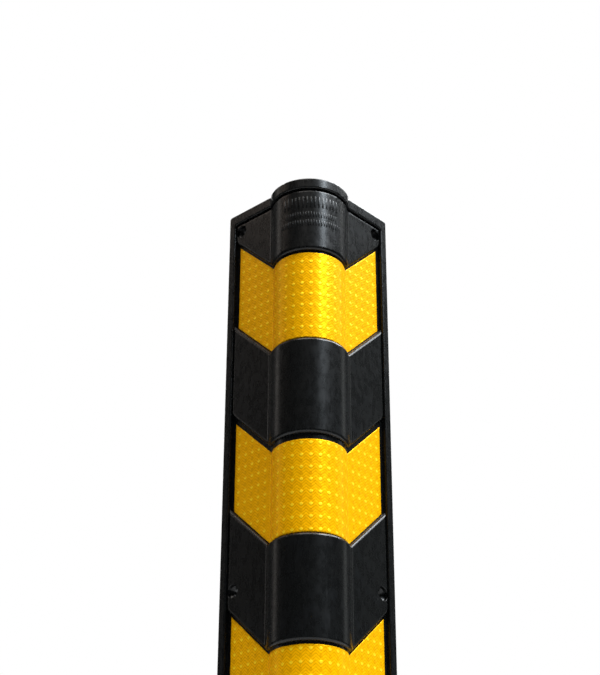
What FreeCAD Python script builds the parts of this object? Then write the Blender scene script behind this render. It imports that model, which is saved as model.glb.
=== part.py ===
import FreeCAD, Part
import math
import os

# Rubber corner guard: an L of two wings joined by a round nose, with raised pads,
# end lips, edge rims and reflective sheets bonded into the recesses between the pads.
# All sizes in millimetres.
# The wall faces lie on Y = 0 (under the +X wing) and X = 0 (under the +Y wing).
# The wall's corner line is the Z axis and the lower end is on Z = 0.

# overall
LENGTH = 800.0                 # full height of the guard
LEG = 100.0                    # each wing's width along the wall, from the wall's corner
RIM_THICK = 12.0               # thickness at the rims and end lips
NOSE_CENTRE = 18.5             # nose axis, the same distance behind both wall faces
NOSE_R = 39.1                  # nose radius over the end lips

# levels below the lips
PAD_DROP = 1.7                 # pad surface below the lip surface
PAD_HEIGHT = 3.5               # pad surface above the recess floor
SHEET_THICK = 0.5              # reflective sheet

# frame of lips and rims
LIP_H = 11.0                   # height of each end lip
RIM_W = 8.0                    # width of each edge rim
CORNER_R = 3.0                 # rounding of the wing corners, seen face on
FRAME_EDGE_R = 1.4             # rounding of the lip and rim edges

# bands, measured on the nose
TOP_BAND = 82.0                # upper end down to the first sheet
SHEET_H = 92.0                 # height of each sheet
BAND_PITCH = 192.0             # from one sheet to the next
SHEET_COUNT = 4
CHEVRON_RISE = 44.0            # how far a sheet's outer end stands above its crease
CHEVRON_R = 5.0                # rounding where the level edge turns into the slanted one

# sheets in their recesses
SHEET_INSET = 11.7             # sheet's outer edge to the wing's outer edge
GAP_OVER_SHEET = 2.4           # recess floor left between a sheet and the pad above it
GAP_UNDER_SHEET = 1.0          # the same, to the pad below it
SHORT_SHEET = 1                # this sheet, counted from 0 at the top, is cut short
SHORT_CUT = 3.2                # how much lower its upper edge lies

# pads
PAD_EDGE_R = 3.2               # rounding of the pad edges
PAD_CORNER_R = 10.0            # rounding of a pad's lower outer corners, seen face on
PAD_LAP = 0.3                  # how far a pad's side runs into the rim
LIP_VALLEY = 0.8               # recess floor left between an end lip and its pad
CREASE_R = 3.6                 # hollow rounding between nose and wing, at the recess floor
PAD_CREASE_R = 6.0             # the same, on the pads
LIP_CREASE_R = 2.5             # the same, on the lips

# fixing holes
HOLE_INSET = 15.3              # hole centre to the wing's outer edge
HOLE_R = 3.75                  # through hole
HEAD_R = 6.25                  # screw head recess
HEAD_DEPTH = 3.6               # from the pad surface to the bottom of the straight wall
HEAD_CONE = 2.2                # depth of the cone under it
MOUTH_R = 0.9                  # rounding of the mouth of the screw head recess
MOUTH_RISE = 0.08              # how far that rounding runs out over the pad surface
HOLE_END = 21.5                # upper and lower hole centres to the ends

# sizes that follow from those above
PAD_THICK = RIM_THICK - PAD_DROP
FLOOR_THICK = PAD_THICK - PAD_HEIGHT
PAD_NOSE_R = NOSE_R - PAD_DROP
FLOOR_NOSE_R = PAD_NOSE_R - PAD_HEIGHT
SHEET_X = LEG - SHEET_INSET
RIM_X = LEG - RIM_W
FAR = 400.0


def vec(x, y, z=0.0):
    return FreeCAD.Vector(x, y, z)


def crease_x(thick, nose_r):
    """Distance from the wall's corner to the line where nose meets wing."""
    rise = NOSE_CENTRE + thick
    return NOSE_CENTRE + math.sqrt(nose_r ** 2 - rise ** 2)


CHEVRON_X = crease_x(FLOOR_THICK + SHEET_THICK, FLOOR_NOSE_R + SHEET_THICK)
SLOPE = CHEVRON_RISE / (SHEET_X - CHEVRON_X)


def prism(thick, nose_r, crease_r):
    """The L section with its round nose, run over the full length."""
    xc = crease_x(thick, nose_r)
    mid = NOSE_CENTRE - nose_r * math.sqrt(0.5)
    lines = [
        Part.LineSegment(vec(0, 0), vec(LEG, 0)),
        Part.LineSegment(vec(LEG, 0), vec(LEG, -thick)),
        Part.LineSegment(vec(LEG, -thick), vec(xc, -thick)),
        Part.Arc(vec(xc, -thick), vec(mid, mid), vec(-thick, xc)),
        Part.LineSegment(vec(-thick, xc), vec(-thick, LEG)),
        Part.LineSegment(vec(-thick, LEG), vec(0, LEG)),
        Part.LineSegment(vec(0, LEG), vec(0, 0)),
    ]
    wire = Part.Wire([line.toShape() for line in lines])
    solid = Part.Face(wire).extrude(vec(0, 0, LENGTH))
    corners = [(xc, -thick), (-thick, xc)]
    edges = [edge for edge in solid.Edges if stands_at(edge, corners)]
    return solid.makeFillet(crease_r, edges)


def stands_at(edge, corners):
    """True for an upright edge at one of the given X, Y corners."""
    a = edge.Vertexes[0].Point
    b = edge.Vertexes[-1].Point
    if abs(a.z - b.z) < LENGTH / 2:
        return False
    return any(math.hypot(a.x - x, a.y - y) < 0.01 for x, y in corners)


def rounded_face(points):
    """Face in the XZ plane from (x, z, corner radius) points."""
    count = len(points)
    starts = []
    ends = []
    for i in range(count):
        x, z, radius = points[i]
        before = vec(points[i - 1][0] - x, 0, points[i - 1][1] - z)
        after = vec(points[(i + 1) % count][0] - x, 0, points[(i + 1) % count][1] - z)
        before.normalize()
        after.normalize()
        half = before.getAngle(after) / 2
        reach = radius / math.tan(half)
        starts.append(vec(x, 0, z) + before * reach)
        ends.append(vec(x, 0, z) + after * reach)
    edges = []
    for i in range(count):
        x, z, radius = points[i]
        if radius > 0:
            corner = vec(x, 0, z)
            inward = (starts[i] + ends[i]) * 0.5 - corner
            inward.normalize()
            spread = (starts[i] - corner).getAngle(ends[i] - corner) / 2
            near = radius / math.sin(spread) - radius
            edges.append(Part.Arc(starts[i], corner + inward * near, ends[i]).toShape())
        nxt = (i + 1) % count
        if (starts[nxt] - ends[i]).Length > 1e-6:
            edges.append(Part.LineSegment(ends[i], starts[nxt]).toShape())
    return Part.Face(Part.Wire(edges))


def both_wings(points):
    """Zone seen face on: run through the +X half, then mirrored to the +Y half."""
    zone = rounded_face(points).extrude(vec(0, 2 * FAR, 0))
    zone.translate(vec(0, -FAR, 0))
    corners = [vec(-FAR, -FAR, -FAR), vec(FAR, -FAR, -FAR), vec(FAR, FAR, -FAR)]
    half = Part.Face(Part.makePolygon(corners + corners[:1])).extrude(vec(0, 0, 4 * FAR))
    zone = zone.common(half)
    other = zone.mirror(vec(0, 0, 0), vec(1, -1, 0))
    return zone.fuse(other).removeSplitter()


def slanted(z_nose, x):
    """Height at x of an edge that is level on the nose and slants on the wing."""
    return z_nose + SLOPE * (x - CHEVRON_X)


def sheet_top(number):
    return LENGTH - TOP_BAND - number * BAND_PITCH


def sheet(number):
    top = sheet_top(number)
    low = top - SHEET_H
    if number == SHORT_SHEET:
        top -= SHORT_CUT
    outer = prism(FLOOR_THICK + SHEET_THICK, FLOOR_NOSE_R + SHEET_THICK, CREASE_R - SHEET_THICK)
    skin = outer.cut(prism(FLOOR_THICK, FLOOR_NOSE_R, CREASE_R))
    zone = both_wings([
        (-FAR, low, 0),
        (CHEVRON_X, low, CHEVRON_R),
        (SHEET_X, slanted(low, SHEET_X), 1.0),
        (SHEET_X, slanted(top, SHEET_X), 1.0),
        (CHEVRON_X, top, CHEVRON_R),
        (-FAR, top, 0),
    ])
    return skin.common(zone)


def pad_zone(low, top, level_low, level_top):
    """Face-on outline of a pad; its lower or upper edge may be level instead of slanted."""
    x = RIM_X + PAD_LAP
    if level_low:
        lower = [(-FAR, low, 0), (x, low, 0.5)]
    else:
        lower = [(-FAR, low, 0), (CHEVRON_X, low, CHEVRON_R), (x, slanted(low, x), PAD_CORNER_R)]
    if level_top:
        upper = [(x, top, 0.5), (-FAR, top, 0)]
    else:
        upper = [(x, slanted(top, x), 0), (CHEVRON_X, top, CHEVRON_R), (-FAR, top, 0)]
    return both_wings(lower + upper)


def outline():
    """The whole guard seen face on, with its rounded wing corners."""
    return both_wings([
        (-FAR, 0, 0),
        (LEG, 0, CORNER_R),
        (LEG, LENGTH, CORNER_R),
        (-FAR, LENGTH, 0),
    ])


def on_front(point, thick, nose_r, crease_r):
    """True on the front of the section: a wing, the nose or the hollow rounding between."""
    near = 1e-3
    axis_y = -(thick + crease_r)
    axis_x = NOSE_CENTRE + math.sqrt((nose_r + crease_r) ** 2 - (NOSE_CENTRE - axis_y) ** 2)
    for along, across in ((point.x, point.y), (point.y, point.x)):
        if along > axis_x - near and abs(across + thick) < near:
            return True
        if across > 0 or along > axis_x + near:
            continue
        if abs(math.hypot(along - axis_x, across - axis_y) - crease_r) < near:
            return True
    reach = math.hypot(point.x - NOSE_CENTRE, point.y - NOSE_CENTRE)
    return min(point.x, point.y) < -thick + near and abs(reach - nose_r) < near


def rim_edges(solid, thick, nose_r, crease_r):
    """Edges round the raised front face of a pad or of the frame."""
    found = []
    for edge in solid.Edges:
        first = edge.FirstParameter
        span = edge.LastParameter - first
        points = [edge.valueAt(first + span * part) for part in (0.0, 0.25, 0.5, 0.75, 1.0)]
        if not all(on_front(point, thick, nose_r, crease_r) for point in points):
            continue
        upright = math.hypot(points[0].x - points[4].x, points[0].y - points[4].y) < 1e-6
        if upright and max(points[0].x, points[0].y) < RIM_X - 1.0:
            continue
        found.append(edge)
    return found


def pads():
    blank = prism(PAD_THICK, PAD_NOSE_R, PAD_CREASE_R)
    made = []
    for number in range(SHEET_COUNT + 1):
        first = number == 0
        last = number == SHEET_COUNT
        top = LENGTH - LIP_H - LIP_VALLEY if first else sheet_top(number - 1) - SHEET_H - GAP_UNDER_SHEET
        low = LIP_H + LIP_VALLEY if last else sheet_top(number) + GAP_OVER_SHEET
        pad = blank.common(pad_zone(low, top, last, first))
        edges = rim_edges(pad, PAD_THICK, PAD_NOSE_R, PAD_CREASE_R)
        made.append(pad.makeFillet(PAD_EDGE_R, edges))
    return made


def frame():
    """End lips and edge rims as one piece, at the full thickness."""
    solid = prism(RIM_THICK, NOSE_R, LIP_CREASE_R).common(outline())
    window = both_wings([
        (-FAR, LIP_H, 0),
        (RIM_X, LIP_H, CORNER_R),
        (RIM_X, LENGTH - LIP_H, CORNER_R),
        (-FAR, LENGTH - LIP_H, 0),
    ])
    ring = solid.cut(window)
    return ring.makeFillet(FRAME_EDGE_R, rim_edges(ring, RIM_THICK, NOSE_R, LIP_CREASE_R))


def hole_tool(z):
    """Screw hole with a head recess, through the +X wing."""
    x = LEG - HOLE_INSET
    out = vec(0, -1, 0)
    through = Part.makeCylinder(HOLE_R, 4 * RIM_THICK, vec(x, 2 * RIM_THICK, z), out)
    head_base = -(PAD_THICK - HEAD_DEPTH)
    head = Part.makeCylinder(HEAD_R, 2 * RIM_THICK, vec(x, head_base, z), out)
    cone = Part.makeCone(HOLE_R, HEAD_R, HEAD_CONE, vec(x, head_base + HEAD_CONE, z), out)
    return through.fuse([head, cone, mouth_tool(x, z)])


def mouth_tool(x, z):
    """Ring that rounds the mouth of the screw head recess, turned about the hole's axis."""
    surface = -PAD_THICK
    depth = surface - MOUTH_RISE + MOUTH_R
    reach = MOUTH_R * math.sqrt(0.5)
    centre = vec(x + HEAD_R + MOUTH_R, depth, z)
    wall = centre - vec(MOUTH_R, 0)
    crest = centre - vec(0, MOUTH_R)
    edges = [
        Part.Arc(wall, centre - vec(reach, reach), crest).toShape(),
        Part.LineSegment(crest, vec(x, crest.y, z)).toShape(),
        Part.LineSegment(vec(x, crest.y, z), vec(x, wall.y, z)).toShape(),
        Part.LineSegment(vec(x, wall.y, z), wall).toShape(),
    ]
    return Part.Face(Part.Wire(edges)).revolve(vec(x, 0, z), vec(0, 1, 0), 360)


def hole_heights():
    return [HOLE_END, LENGTH / 2, LENGTH - HOLE_END]


def rubber_body():
    core = prism(FLOOR_THICK, FLOOR_NOSE_R, CREASE_R).common(outline())
    body = core.fuse(pads() + [frame()]).removeSplitter()
    for z in hole_heights():
        tool = hole_tool(z)
        body = body.cut(tool)
        body = body.cut(tool.mirror(vec(0, 0, 0), vec(1, -1, 0)))
    return body


def save(shape, name):
    """Write the one solid of a piece."""
    shape.Solids[0].exportStep(os.path.join("parts", name + ".step"))


os.makedirs("parts", exist_ok=True)
save(rubber_body(), "rubber_body")
for index in range(SHEET_COUNT):
    save(sheet(index), "sheet_" + str(index + 1))
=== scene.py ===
import math

import bmesh
import bpy
from mathutils import Matrix, Vector

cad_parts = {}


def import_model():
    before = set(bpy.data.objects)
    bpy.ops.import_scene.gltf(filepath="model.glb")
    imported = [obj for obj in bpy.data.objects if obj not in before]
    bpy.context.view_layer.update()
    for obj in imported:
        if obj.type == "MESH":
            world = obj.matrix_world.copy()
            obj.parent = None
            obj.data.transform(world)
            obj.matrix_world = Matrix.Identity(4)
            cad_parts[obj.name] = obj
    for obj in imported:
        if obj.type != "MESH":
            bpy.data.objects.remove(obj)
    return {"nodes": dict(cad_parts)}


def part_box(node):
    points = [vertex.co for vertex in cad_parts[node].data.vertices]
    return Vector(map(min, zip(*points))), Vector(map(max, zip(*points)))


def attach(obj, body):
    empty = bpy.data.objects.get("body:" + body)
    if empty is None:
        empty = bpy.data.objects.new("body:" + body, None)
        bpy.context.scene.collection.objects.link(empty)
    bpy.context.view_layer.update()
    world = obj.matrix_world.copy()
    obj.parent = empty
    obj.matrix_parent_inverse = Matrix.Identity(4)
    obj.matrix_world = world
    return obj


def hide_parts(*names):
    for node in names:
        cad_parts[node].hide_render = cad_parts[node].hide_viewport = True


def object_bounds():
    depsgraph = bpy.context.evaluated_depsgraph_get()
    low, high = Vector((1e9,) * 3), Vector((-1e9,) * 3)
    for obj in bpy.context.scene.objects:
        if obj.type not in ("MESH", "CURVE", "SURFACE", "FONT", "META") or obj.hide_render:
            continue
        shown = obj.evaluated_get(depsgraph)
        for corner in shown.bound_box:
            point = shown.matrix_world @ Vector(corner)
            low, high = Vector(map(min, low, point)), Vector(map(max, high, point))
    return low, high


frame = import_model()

cad_low, cad_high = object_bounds()

MM = 0.001
HEIGHT = cad_high.z

# ---------------------------------------------------------------- sizes, as in the part
LEG = 100 * MM                     # wing width
RIM_THICK = 12 * MM                # thickness at the rims and end lips
NOSE_CENTRE = 18.5 * MM            # nose axis, behind both wall faces
NOSE_R = 39.1 * MM                 # nose radius over the end lips
PAD_DROP = 1.7 * MM                # pad surface below the lips
PAD_HEIGHT = 3.5 * MM              # pad surface above the recess floor
SHEET_THICK = 0.5 * MM
SHEET_INSET = 11.7 * MM            # sheet's outer edge to the wing's outer edge
CREASE_R = 3.6 * MM                # hollow rounding between nose and wing, at the recess floor
CHEVRON_RISE = 44 * MM             # how far a sheet's outer end stands above its crease
CHEVRON_EASE = 1.7 * MM            # half the width of the bend where a sheet's edge turns upwards
PAD_THICK = RIM_THICK - PAD_DROP
PAD_NOSE_R = NOSE_R - PAD_DROP
FLOOR_THICK = PAD_THICK - PAD_HEIGHT
FLOOR_NOSE_R = PAD_NOSE_R - PAD_HEIGHT
SHEET_X = LEG - SHEET_INSET
CREASE_Y = -(FLOOR_THICK + CREASE_R)
CREASE_X = NOSE_CENTRE + math.sqrt((FLOOR_NOSE_R + CREASE_R) ** 2 - (NOSE_CENTRE - CREASE_Y) ** 2)
CREASE_TURN = math.atan2(CREASE_Y - NOSE_CENTRE, CREASE_X - NOSE_CENTRE)
CHEVRON_RISE_Y = NOSE_CENTRE + FLOOR_THICK + SHEET_THICK
CHEVRON_X = NOSE_CENTRE + math.sqrt((FLOOR_NOSE_R + SHEET_THICK) ** 2 - CHEVRON_RISE_Y ** 2)
SLOPE = CHEVRON_RISE / (SHEET_X - CHEVRON_X)

# the sheeting's own pattern
CELL_W = 8.5 * MM                  # one cell of the prism lattice, round the section
CELL_H = 11.8 * MM                 # the same, upwards
CELL_STEPS_W = 12                  # faces across one cell
CELL_STEPS_H = 16                  # faces up one cell
DOT_R = 2.1 * MM                   # seal dot at each corner of the lattice
DOT_HEIGHT = 0.14 * MM
RIBS_PER_CELL = 4                  # zigzag ribs in the height of one cell
RIB_SWING = 2.6                    # how many ribs high one zigzag is
RIB_HEIGHT = 0.06 * MM
PILLOW = 0.10 * MM                 # how far the film swells between the dots
EDGE_DROP = 0.28 * MM              # cut edges of a sheet are pressed down this much
CORNER_LOSS = 1.3 * MM             # what the rounded upper corners take off a sheet's box

# plain raised ribs on the end pad's nose: top of each row, rib height, rib width, pitch, half the row
RIB_STAND = 0.25 * MM
RIB_ROWS = (
    (HEIGHT - 20.5 * MM, 12.5 * MM, 1.7 * MM, 3.9 * MM, 27.3 * MM),
    (HEIGHT - 38.0 * MM, 6.0 * MM, 1.1 * MM, 2.6 * MM, 26.0 * MM),
    (HEIGHT - 47.0 * MM, 6.5 * MM, 1.1 * MM, 2.6 * MM, 31.2 * MM),
)


# ---------------------------------------------------------------- colours
RUBBER_BLACK = (0.0026, 0.0029, 0.0029, 1.0)
RUBBER_WORN = (0.0038, 0.0044, 0.0049, 1.0)
RUBBER_STREAK = (0.0115, 0.0122, 0.0130, 1.0)
DUST = (0.035, 0.037, 0.036, 1.0)
SHEET_DEEP = (0.79, 0.350, 0.0008, 1.0)
SHEET_BRIGHT = (0.92, 0.480, 0.0010, 1.0)
SHEET_FADED = (0.88, 0.390, 0.0008, 1.0)
# painted shade colour for the spots beside the dots; also the colour of the scuffs
SHEET_SHADE_AND_SCUFF = (0.44, 0.165, 0.0008, 1.0)
# painted glint: lighter colour laid on each seal dot
SHEET_DOT_GLINT = (1.0, 0.80, 0.030, 1.0)
SHEET_GLEAM = (1.0, 0.72, 0.06, 1.0)
FLOOR_GREY = (0.60, 0.60, 0.60, 1.0)


# ---------------------------------------------------------------- node helpers
class Nodes:
    """Short way to write a material's node tree."""

    def __init__(self, name):
        self.material = bpy.data.materials.new(name)
        self.material.use_nodes = True
        self.tree = self.material.node_tree
        self.tree.nodes.clear()
        self.output = self.tree.nodes.new("ShaderNodeOutputMaterial")
        self.shader = self.tree.nodes.new("ShaderNodeBsdfPrincipled")
        self.link(self.shader.outputs[0], self.output.inputs[0])

    def new(self, kind, **settings):
        node = self.tree.nodes.new(kind)
        for key, value in settings.items():
            setattr(node, key, value)
        return node

    def link(self, source, target):
        self.tree.links.new(source, target)

    def put(self, socket, value):
        if isinstance(value, bpy.types.NodeSocket):
            self.link(value, socket)
        else:
            socket.default_value = value

    def place(self):
        return self.new("ShaderNodeTexCoord").outputs["Object"]

    def math(self, operation, a, b=0.0, clamp=False):
        node = self.new("ShaderNodeMath", operation=operation, use_clamp=clamp)
        self.put(node.inputs[0], a)
        self.put(node.inputs[1], b)
        return node.outputs[0]

    def noise(self, vector, scale, detail=4.0, rough=0.55, distortion=0.0):
        node = self.new("ShaderNodeTexNoise")
        self.put(node.inputs["Vector"], vector)
        node.inputs["Scale"].default_value = scale
        node.inputs["Detail"].default_value = detail
        node.inputs["Roughness"].default_value = rough
        node.inputs["Distortion"].default_value = distortion
        return node.outputs["Fac"]

    def stretch(self, vector, scale):
        node = self.new("ShaderNodeMapping")
        self.put(node.inputs["Vector"], vector)
        node.inputs["Scale"].default_value = scale
        return node.outputs[0]

    def ramp(self, value, low, high, dark=0.0, light=1.0):
        node = self.new("ShaderNodeMapRange")
        node.interpolation_type = "SMOOTHSTEP"
        self.put(node.inputs["Value"], value)
        node.inputs["From Min"].default_value = low
        node.inputs["From Max"].default_value = high
        node.inputs["To Min"].default_value = dark
        node.inputs["To Max"].default_value = light
        return node.outputs[0]

    def blend(self, share, first, second):
        node = self.new("ShaderNodeMix", data_type="RGBA")
        self.put(node.inputs["Factor"], share)
        self.put(node.inputs[6], first)
        self.put(node.inputs[7], second)
        return node.outputs[2]

    def bump(self, height, distance, strength=1.0, before=None):
        node = self.new("ShaderNodeBump")
        node.inputs["Strength"].default_value = strength
        node.inputs["Distance"].default_value = distance
        self.put(node.inputs["Height"], height)
        if before is not None:
            self.link(before, node.inputs["Normal"])
        return node.outputs[0]


# ---------------------------------------------------------------- materials
def black_rubber():
    """Moulded rubber: dark, satin, with release smears, run-down streaks and settled dust."""
    n = Nodes("black_rubber")
    place = n.place()
    cloud = n.noise(place, 16.0, 4.0, 0.6, 0.4)
    mottle = n.noise(n.stretch(place, (1.0, 1.0, 0.6)), 170.0, 5.0, 0.55)
    smear = n.noise(n.stretch(place, (1.0, 1.0, 0.35)), 320.0, 4.0, 0.6)
    grain = n.noise(place, 1500.0, 2.0, 0.6)
    run = n.noise(n.stretch(place, (210.0, 210.0, 9.0)), 1.0, 4.0, 0.65)
    specks = n.noise(place, 520.0, 2.0, 0.5)
    patch = n.math("MULTIPLY", n.ramp(cloud, 0.42, 0.66), n.ramp(mottle, 0.36, 0.7))
    colour = n.blend(patch, RUBBER_BLACK, RUBBER_WORN)
    streak = n.math("MULTIPLY", n.ramp(run, 0.56, 0.78), n.ramp(cloud, 0.40, 0.60, 0.25, 1.0))
    colour = n.blend(n.math("MULTIPLY", streak, 0.5), colour, RUBBER_STREAK)
    dust = n.math("MULTIPLY", n.ramp(specks, 0.70, 0.78), n.ramp(mottle, 0.5, 0.7))
    colour = n.blend(n.math("MULTIPLY", dust, 0.6), colour, DUST)
    n.put(n.shader.inputs["Base Color"], colour)
    rough = n.math("ADD", n.ramp(mottle, 0.32, 0.68, 0.235, 0.285), n.ramp(smear, 0.35, 0.70, 0.0, 0.05))
    rough = n.math("ADD", rough, n.ramp(streak, 0.0, 1.0, 0.0, 0.10))
    n.put(n.shader.inputs["Roughness"], rough)
    n.shader.inputs["Specular IOR Level"].default_value = 0.22
    first = n.bump(grain, 0.00005, 0.35)
    second = n.bump(smear, 0.00006, 0.30, first)
    third = n.bump(mottle, 0.00012, 0.20, second)
    n.link(n.bump(cloud, 0.0012, 0.12, third), n.shader.inputs["Normal"])
    return n.material


def yellow_sheet():
    """Micro-prismatic sheeting: golden film over fine herringbone ribs and a lattice of seal dots, with a
    painted glint on each dot and a painted shade spot beside it.
    """
    n = Nodes("yellow_sheet")
    cells = n.new("ShaderNodeUVMap", uv_map="cells").outputs[0]
    split = n.new("ShaderNodeSeparateXYZ")
    n.link(cells, split.inputs[0])
    across, up = split.outputs[0], split.outputs[1]
    place = n.place()
    cloud = n.noise(place, 18.0, 4.0, 0.6)
    mottle = n.noise(place, 260.0, 3.0, 0.6)
    # ribs that run up and down in a zigzag, one full swing in each cell
    swing = n.math("ABSOLUTE", n.math("SUBTRACT", n.math("FRACT", across), 0.5))
    phase = n.math("ADD", n.math("MULTIPLY", up, RIBS_PER_CELL), n.math("MULTIPLY", swing, RIB_SWING))
    rib = n.math("ABSOLUTE", n.math("SUBTRACT", n.math("FRACT", phase), 0.5))
    rib = n.math("MULTIPLY", rib, 2.0)
    # seal dots on the corners of the lattice: raised by bump, and also painted lighter as a glint
    far_a = n.math("SUBTRACT", n.math("FRACT", n.math("ADD", across, 0.5)), 0.5)
    far_u = n.math("SUBTRACT", n.math("FRACT", n.math("ADD", up, 0.5)), 0.5)
    reach_a = n.math("MULTIPLY", far_a, CELL_W / DOT_R)
    reach_u = n.math("MULTIPLY", far_u, CELL_H / DOT_R)
    reach = n.math("ADD", n.math("POWER", reach_a, 2.0), n.math("POWER", reach_u, 2.0))
    dot = n.ramp(reach, 0.15, 0.9, 1.0, 0.0)
    # painted shade: darker spots in the same columns, half a row up, the shaded side of each dot
    shade_spot_u = n.math("MULTIPLY", n.math("SUBTRACT", n.math("FRACT", up), 0.5), CELL_H / DOT_R)
    shade_spot = n.math("ADD", n.math("POWER", reach_a, 2.0), n.math("POWER", shade_spot_u, 2.0))
    shade_spot = n.ramp(shade_spot, 0.1, 0.8, 1.0, 0.0)
    share = n.math("ADD", n.math("MULTIPLY", rib, 0.55), n.ramp(mottle, 0.3, 0.7, 0.0, 0.45))
    colour = n.blend(share, SHEET_DEEP, SHEET_BRIGHT)
    colour = n.blend(n.ramp(cloud, 0.35, 0.7, 0.0, 0.22), colour, SHEET_FADED)
    # painted shade spots blended into the film's colour
    colour = n.blend(n.math("MULTIPLY", shade_spot, 0.30), colour, SHEET_SHADE_AND_SCUFF)
    # painted glint: each seal dot painted lighter, standing in for the light caught on its dome
    colour = n.blend(n.math("MULTIPLY", dot, 0.55), colour, SHEET_DOT_GLINT)
    # short upright scuffs
    scuff = n.noise(n.stretch(place, (700.0, 700.0, 150.0)), 1.0, 2.0, 0.5)
    scuff = n.math("MULTIPLY", n.ramp(scuff, 0.66, 0.74), n.ramp(cloud, 0.45, 0.60))
    colour = n.blend(n.math("MULTIPLY", scuff, 0.45), colour, SHEET_SHADE_AND_SCUFF)
    n.put(n.shader.inputs["Base Color"], colour)
    rough = n.math("ADD", n.ramp(rib, 0.0, 1.0, 0.26, 0.42), n.math("MULTIPLY", scuff, 0.15))
    n.put(n.shader.inputs["Roughness"], rough)
    n.shader.inputs["Metallic"].default_value = 0.28
    n.shader.inputs["Specular IOR Level"].default_value = 0.10
    n.shader.inputs["Specular Tint"].default_value = SHEET_GLEAM
    first = n.bump(rib, 0.00006, 0.5)
    second = n.bump(dot, 0.0003, 0.5, first)
    n.link(n.bump(mottle, 0.00004, 0.4, second), n.shader.inputs["Normal"])
    return n.material


RUBBER = black_rubber()
SHEETING = yellow_sheet()


# ---------------------------------------------------------------- reflective sheets
def add_piece(name, mesh, material):
    """Object from a finished bmesh, at the origin, with its material."""
    data = bpy.data.meshes.new(name)
    mesh.to_mesh(data)
    mesh.free()
    for face in data.polygons:
        face.use_smooth = True
    data.materials.append(material)
    piece = bpy.data.objects.new(name, data)
    bpy.context.scene.collection.objects.link(piece)
    return piece


SHEET_R = FLOOR_NOSE_R + SHEET_THICK
HALF_NOSE = SHEET_R * (0.75 * math.pi + CREASE_TURN)
CREASE_BEND = math.pi / 2 + CREASE_TURN
CREASE_RUN = (CREASE_R - SHEET_THICK) * CREASE_BEND
HALF_SHEET = HALF_NOSE + CREASE_RUN + SHEET_X - CREASE_X


def on_section(along, lift):
    """X and Y of a point of the recess floor, `along` from the nose's middle and `lift` off it."""
    run = abs(along)
    if run < HALF_NOSE:
        turn = -0.75 * math.pi + run / SHEET_R
        reach = FLOOR_NOSE_R + lift
        x = NOSE_CENTRE + reach * math.cos(turn)
        y = NOSE_CENTRE + reach * math.sin(turn)
    elif run < HALF_NOSE + CREASE_RUN:
        turn = math.pi + CREASE_TURN - (run - HALF_NOSE) / (CREASE_R - SHEET_THICK)
        reach = CREASE_R - lift
        x = CREASE_X + reach * math.cos(turn)
        y = CREASE_Y + reach * math.sin(turn)
    else:
        x = CREASE_X + run - HALF_NOSE - CREASE_RUN
        y = -(FLOOR_THICK + lift)
    return (x, y) if along >= 0 else (y, x)


def chevron(x):
    """Rise of a sheet's edge at distance x along the wing: level, then slanted upwards."""
    start = CHEVRON_X - CHEVRON_EASE
    if x < start:
        return 0.0
    if x < CHEVRON_X + CHEVRON_EASE:
        return SLOPE * (x - start) ** 2 / (4 * CHEVRON_EASE)
    return SLOPE * (x - CHEVRON_X)


def relief(across, up):
    """Height of the film over its base at a place in the lattice, counted in cells."""
    far_a = (across - round(across)) * CELL_W
    far_u = (up - round(up)) * CELL_H
    dome = max(0.0, 1.0 - (far_a ** 2 + far_u ** 2) / DOT_R ** 2)
    phase = up * RIBS_PER_CELL + abs(across % 1.0 - 0.5) * RIB_SWING
    swell = math.cos(2 * math.pi * across) * math.cos(2 * math.pi * up)
    return DOT_HEIGHT * dome + RIB_HEIGHT * abs(phase % 1.0 - 0.5) * 2 - PILLOW * swell


def sheet(node):
    """One sheet over the recess floor, with its lattice raised in the surface."""
    low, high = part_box(node)
    height = high.z - low.z - CHEVRON_RISE + CORNER_LOSS
    columns = 2 * round(HALF_SHEET / CELL_W * CELL_STEPS_W)
    rows = round(height / CELL_H * CELL_STEPS_H)
    mesh = bmesh.new()
    bmesh.ops.create_grid(mesh, x_segments=columns, y_segments=rows, size=1.0)
    cells = mesh.loops.layers.uv.new("cells")
    edge = {vert for vert in mesh.verts if vert.is_boundary}
    for vert in mesh.verts:
        along = vert.co.x * HALF_SHEET
        x, y = on_section(along, SHEET_THICK)
        z = low.z + chevron(max(x, y)) + (vert.co.y + 1) / 2 * height
        across, up = along / CELL_W, z / CELL_H
        for loop in vert.link_loops:
            loop[cells].uv = (across, up)
        lift = SHEET_THICK + relief(across, up)
        if vert in edge:
            lift -= EDGE_DROP
        vert.co = (*on_section(along, lift), z)
    mesh.normal_update()
    bmesh.ops.solidify(mesh, geom=mesh.faces[:], thickness=SHEET_THICK)
    piece = add_piece(node + "_film", mesh, SHEETING)
    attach(piece, "root")
    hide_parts(node)


for name in frame["nodes"]:
    if name.startswith("sheet_"):
        sheet(name)


# ---------------------------------------------------------------- raised ribs on the end pad
def rib(mesh, turn, low, height, width):
    """One upright rounded rib standing on the nose, `turn` from its middle."""
    made = bmesh.ops.create_cube(mesh, size=1.0)["verts"]
    bmesh.ops.scale(mesh, vec=(2 * RIB_STAND, width, height), verts=made)
    edges = list({edge for vert in made for edge in vert.link_edges})
    bevel = 0.45 * min(width, 2 * RIB_STAND)
    round_off = bmesh.ops.bevel(mesh, geom=edges, offset=bevel, segments=3, profile=0.5,
                                affect="EDGES", material=-1, clamp_overlap=True)
    verts = list({vert for face in round_off["faces"] for vert in face.verts})
    bmesh.ops.translate(mesh, vec=(PAD_NOSE_R, 0, low + height / 2), verts=verts)
    swing = Matrix.Rotation(turn - 0.75 * math.pi, 4, "Z")
    bmesh.ops.transform(mesh, matrix=Matrix.Translation((NOSE_CENTRE, NOSE_CENTRE, 0)) @ swing, verts=verts)


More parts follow.
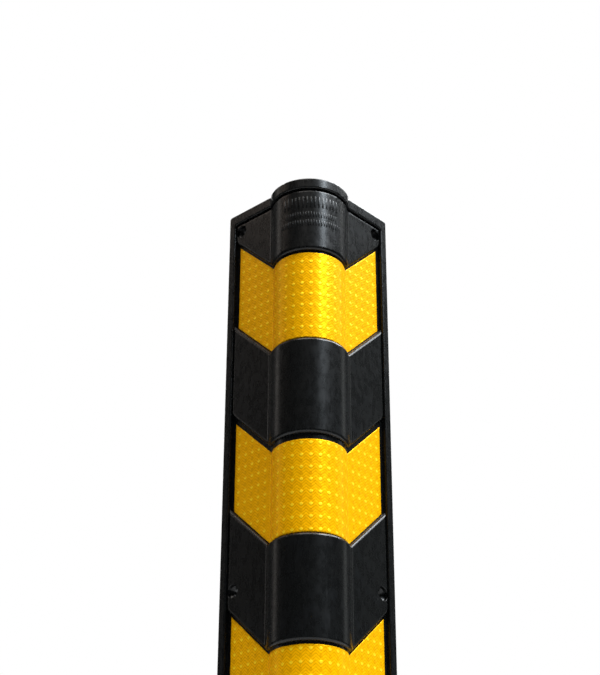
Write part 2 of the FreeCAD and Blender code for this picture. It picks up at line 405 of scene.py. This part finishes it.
def rib_rows():
    """Three rows of plain ribs, tall ones over two rows of short ones."""
    mesh = bmesh.new()
    for top, height, width, pitch, half in RIB_ROWS:
        count = round(2 * half / pitch)
        for i in range(count + 1):
            along = -half + i * pitch
            rib(mesh, along / PAD_NOSE_R, top - height, height, width)
    piece = add_piece("end_pad_ribs", mesh, RUBBER)
    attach(piece, "root")


rib_rows()

body = frame["nodes"]["rubber_body"]
body.data.materials.clear()
body.data.materials.append(RUBBER)


# ---------------------------------------------------------------- camera
CAMERA_SIDE = -52.18 * MM          # left of the nose's middle
CAMERA_AWAY = -1256.74 * MM        # in front of the nose's axis
CAMERA_UP = -52.25 * MM            # just below the guard's lower end
CAMERA_YAW = -0.0346               # these three in radians
CAMERA_PITCH = 0.4745
CAMERA_ROLL = -0.0041
SENSOR = 36.0
LENS = 80.91
SHIFT_UP = 0.0704


def camera():
    """Standing in front of the nose, a little to the left, low down and looking up."""
    side, away, up = CAMERA_SIDE, CAMERA_AWAY, CAMERA_UP
    yaw, pitch, roll = CAMERA_YAW, CAMERA_PITCH, CAMERA_ROLL
    right = Vector((math.cos(yaw), math.sin(yaw), 0))
    ahead = Vector((-math.sin(yaw), math.cos(yaw), 0))
    forward = ahead * math.cos(pitch) + Vector((0, 0, math.sin(pitch)))
    top = Vector((0, 0, math.cos(pitch))) - ahead * math.sin(pitch)
    right_rolled = right * math.cos(roll) - top * math.sin(roll)
    top_rolled = right * math.sin(roll) + top * math.cos(roll)
    half = math.sqrt(0.5)
    turn = Matrix(((half, half, 0), (-half, half, 0), (0, 0, 1)))
    axes = Matrix((turn @ right_rolled, turn @ top_rolled, turn @ -forward)).transposed()
    place = turn @ Vector((side, away + 2 * NOSE_CENTRE * half, up))
    data = bpy.data.cameras.new("camera")
    data.sensor_width = SENSOR
    data.lens = LENS
    data.shift_y = SHIFT_UP
    data.clip_start = 0.01
    data.clip_end = 50.0
    data.dof.use_dof = False
    view = bpy.data.objects.new("camera", data)
    bpy.context.scene.collection.objects.link(view)
    view.matrix_world = Matrix.Translation(place) @ axes.to_4x4()
    bpy.context.scene.camera = view


camera()


# ---------------------------------------------------------------- floor, light and background
FLOOR_R = 0.9
FILL = 0.06                        # even light from all round


def floor():
    """Pale round floor under the guard."""
    mesh = bmesh.new()
    bmesh.ops.create_circle(mesh, cap_ends=True, segments=96, radius=FLOOR_R)
    data = bpy.data.meshes.new("floor")
    mesh.to_mesh(data)
    mesh.free()
    ground = bpy.data.objects.new("floor", data)
    bpy.context.scene.collection.objects.link(ground)
    n = Nodes("floor")
    n.shader.inputs["Base Color"].default_value = FLOOR_GREY
    n.shader.inputs["Roughness"].default_value = 0.8
    data.materials.append(n.material)


def softbox(name, azimuth, elevation, away, size, glow, colour):
    """Panel aimed at the guard; azimuth from the nose's front to the right, both in degrees."""
    data = bpy.data.lights.new(name, "AREA")
    data.shape = "RECTANGLE"
    data.size, data.size_y = size
    data.energy = glow * math.pi * size[0] * size[1]
    data.color = colour
    lamp = bpy.data.objects.new(name, data)
    bpy.context.scene.collection.objects.link(lamp)
    swing, rise = math.radians(azimuth), math.radians(elevation)
    flat = FRONT * math.cos(swing) + RIGHT * math.sin(swing)
    towards = flat * math.cos(rise) + Vector((0, 0, math.sin(rise)))
    lamp.location = AIM + towards * away
    lamp.rotation_mode = "QUATERNION"
    lamp.rotation_quaternion = (-towards).to_track_quat("-Z", "Y")


def world():
    """Plain white background with a weak even fill."""
    scene_world = bpy.data.worlds.new("studio")
    bpy.context.scene.world = scene_world
    scene_world.use_nodes = True
    tree = scene_world.node_tree
    tree.nodes.clear()
    out = tree.nodes.new("ShaderNodeOutputWorld")
    seen = tree.nodes.new("ShaderNodeBackground")
    seen.inputs["Color"].default_value = (1.0, 1.0, 1.0, 1.0)
    seen.inputs["Strength"].default_value = 1.0
    fill = tree.nodes.new("ShaderNodeBackground")
    fill.inputs["Color"].default_value = (0.95, 0.97, 1.0, 1.0)
    fill.inputs["Strength"].default_value = FILL
    rays = tree.nodes.new("ShaderNodeLightPath")
    mix = tree.nodes.new("ShaderNodeMixShader")
    tree.links.new(rays.outputs["Is Camera Ray"], mix.inputs[0])
    tree.links.new(fill.outputs[0], mix.inputs[1])
    tree.links.new(seen.outputs[0], mix.inputs[2])
    tree.links.new(mix.outputs[0], out.inputs[0])


HALF_ROOT = math.sqrt(0.5)
FRONT = Vector((-HALF_ROOT, -HALF_ROOT, 0))
RIGHT = Vector((HALF_ROOT, -HALF_ROOT, 0))
AIM = Vector((0, 0, 0.45))

# name, azimuth, elevation, distance, size, glow, colour
LIGHTS = (
    ("key", 55, 58, 4.0, (1.6, 1.6), 34.0, (0.92, 0.96, 1.0)),
    ("upper_left", -20, 66, 4.0, (2.0, 2.0), 8.0, (1.0, 0.95, 0.90)),
    ("nose_glint", 42, 43, 4.0, (0.6, 0.6), 52.0, (0.80, 0.91, 1.0)),
    ("right_glint", 92, 50, 4.0, (1.4, 0.7), 18.0, (0.90, 0.96, 1.0)),
    ("left_glint", -90, 46, 4.0, (1.4, 0.6), 3.5, (1.0, 0.82, 0.70)),
    ("back_right", 140, 58, 3.0, (1.3, 1.3), 14.0, (0.95, 0.975, 1.0)),
    ("left_side", -108, 24, 3.0, (0.5, 2.4), 1.4, (1.0, 0.93, 0.87)),
    ("right_side", 112, 22, 3.0, (0.5, 2.4), 1.2, (0.96, 1.0, 0.98)),
    ("rear", 180, 30, 3.5, (2.4, 2.0), 6.0, (1.0, 1.0, 1.0)),
)

floor()
world()
for light in LIGHTS:
    softbox(*light)

bpy.context.scene.view_settings.view_transform = "Standard"
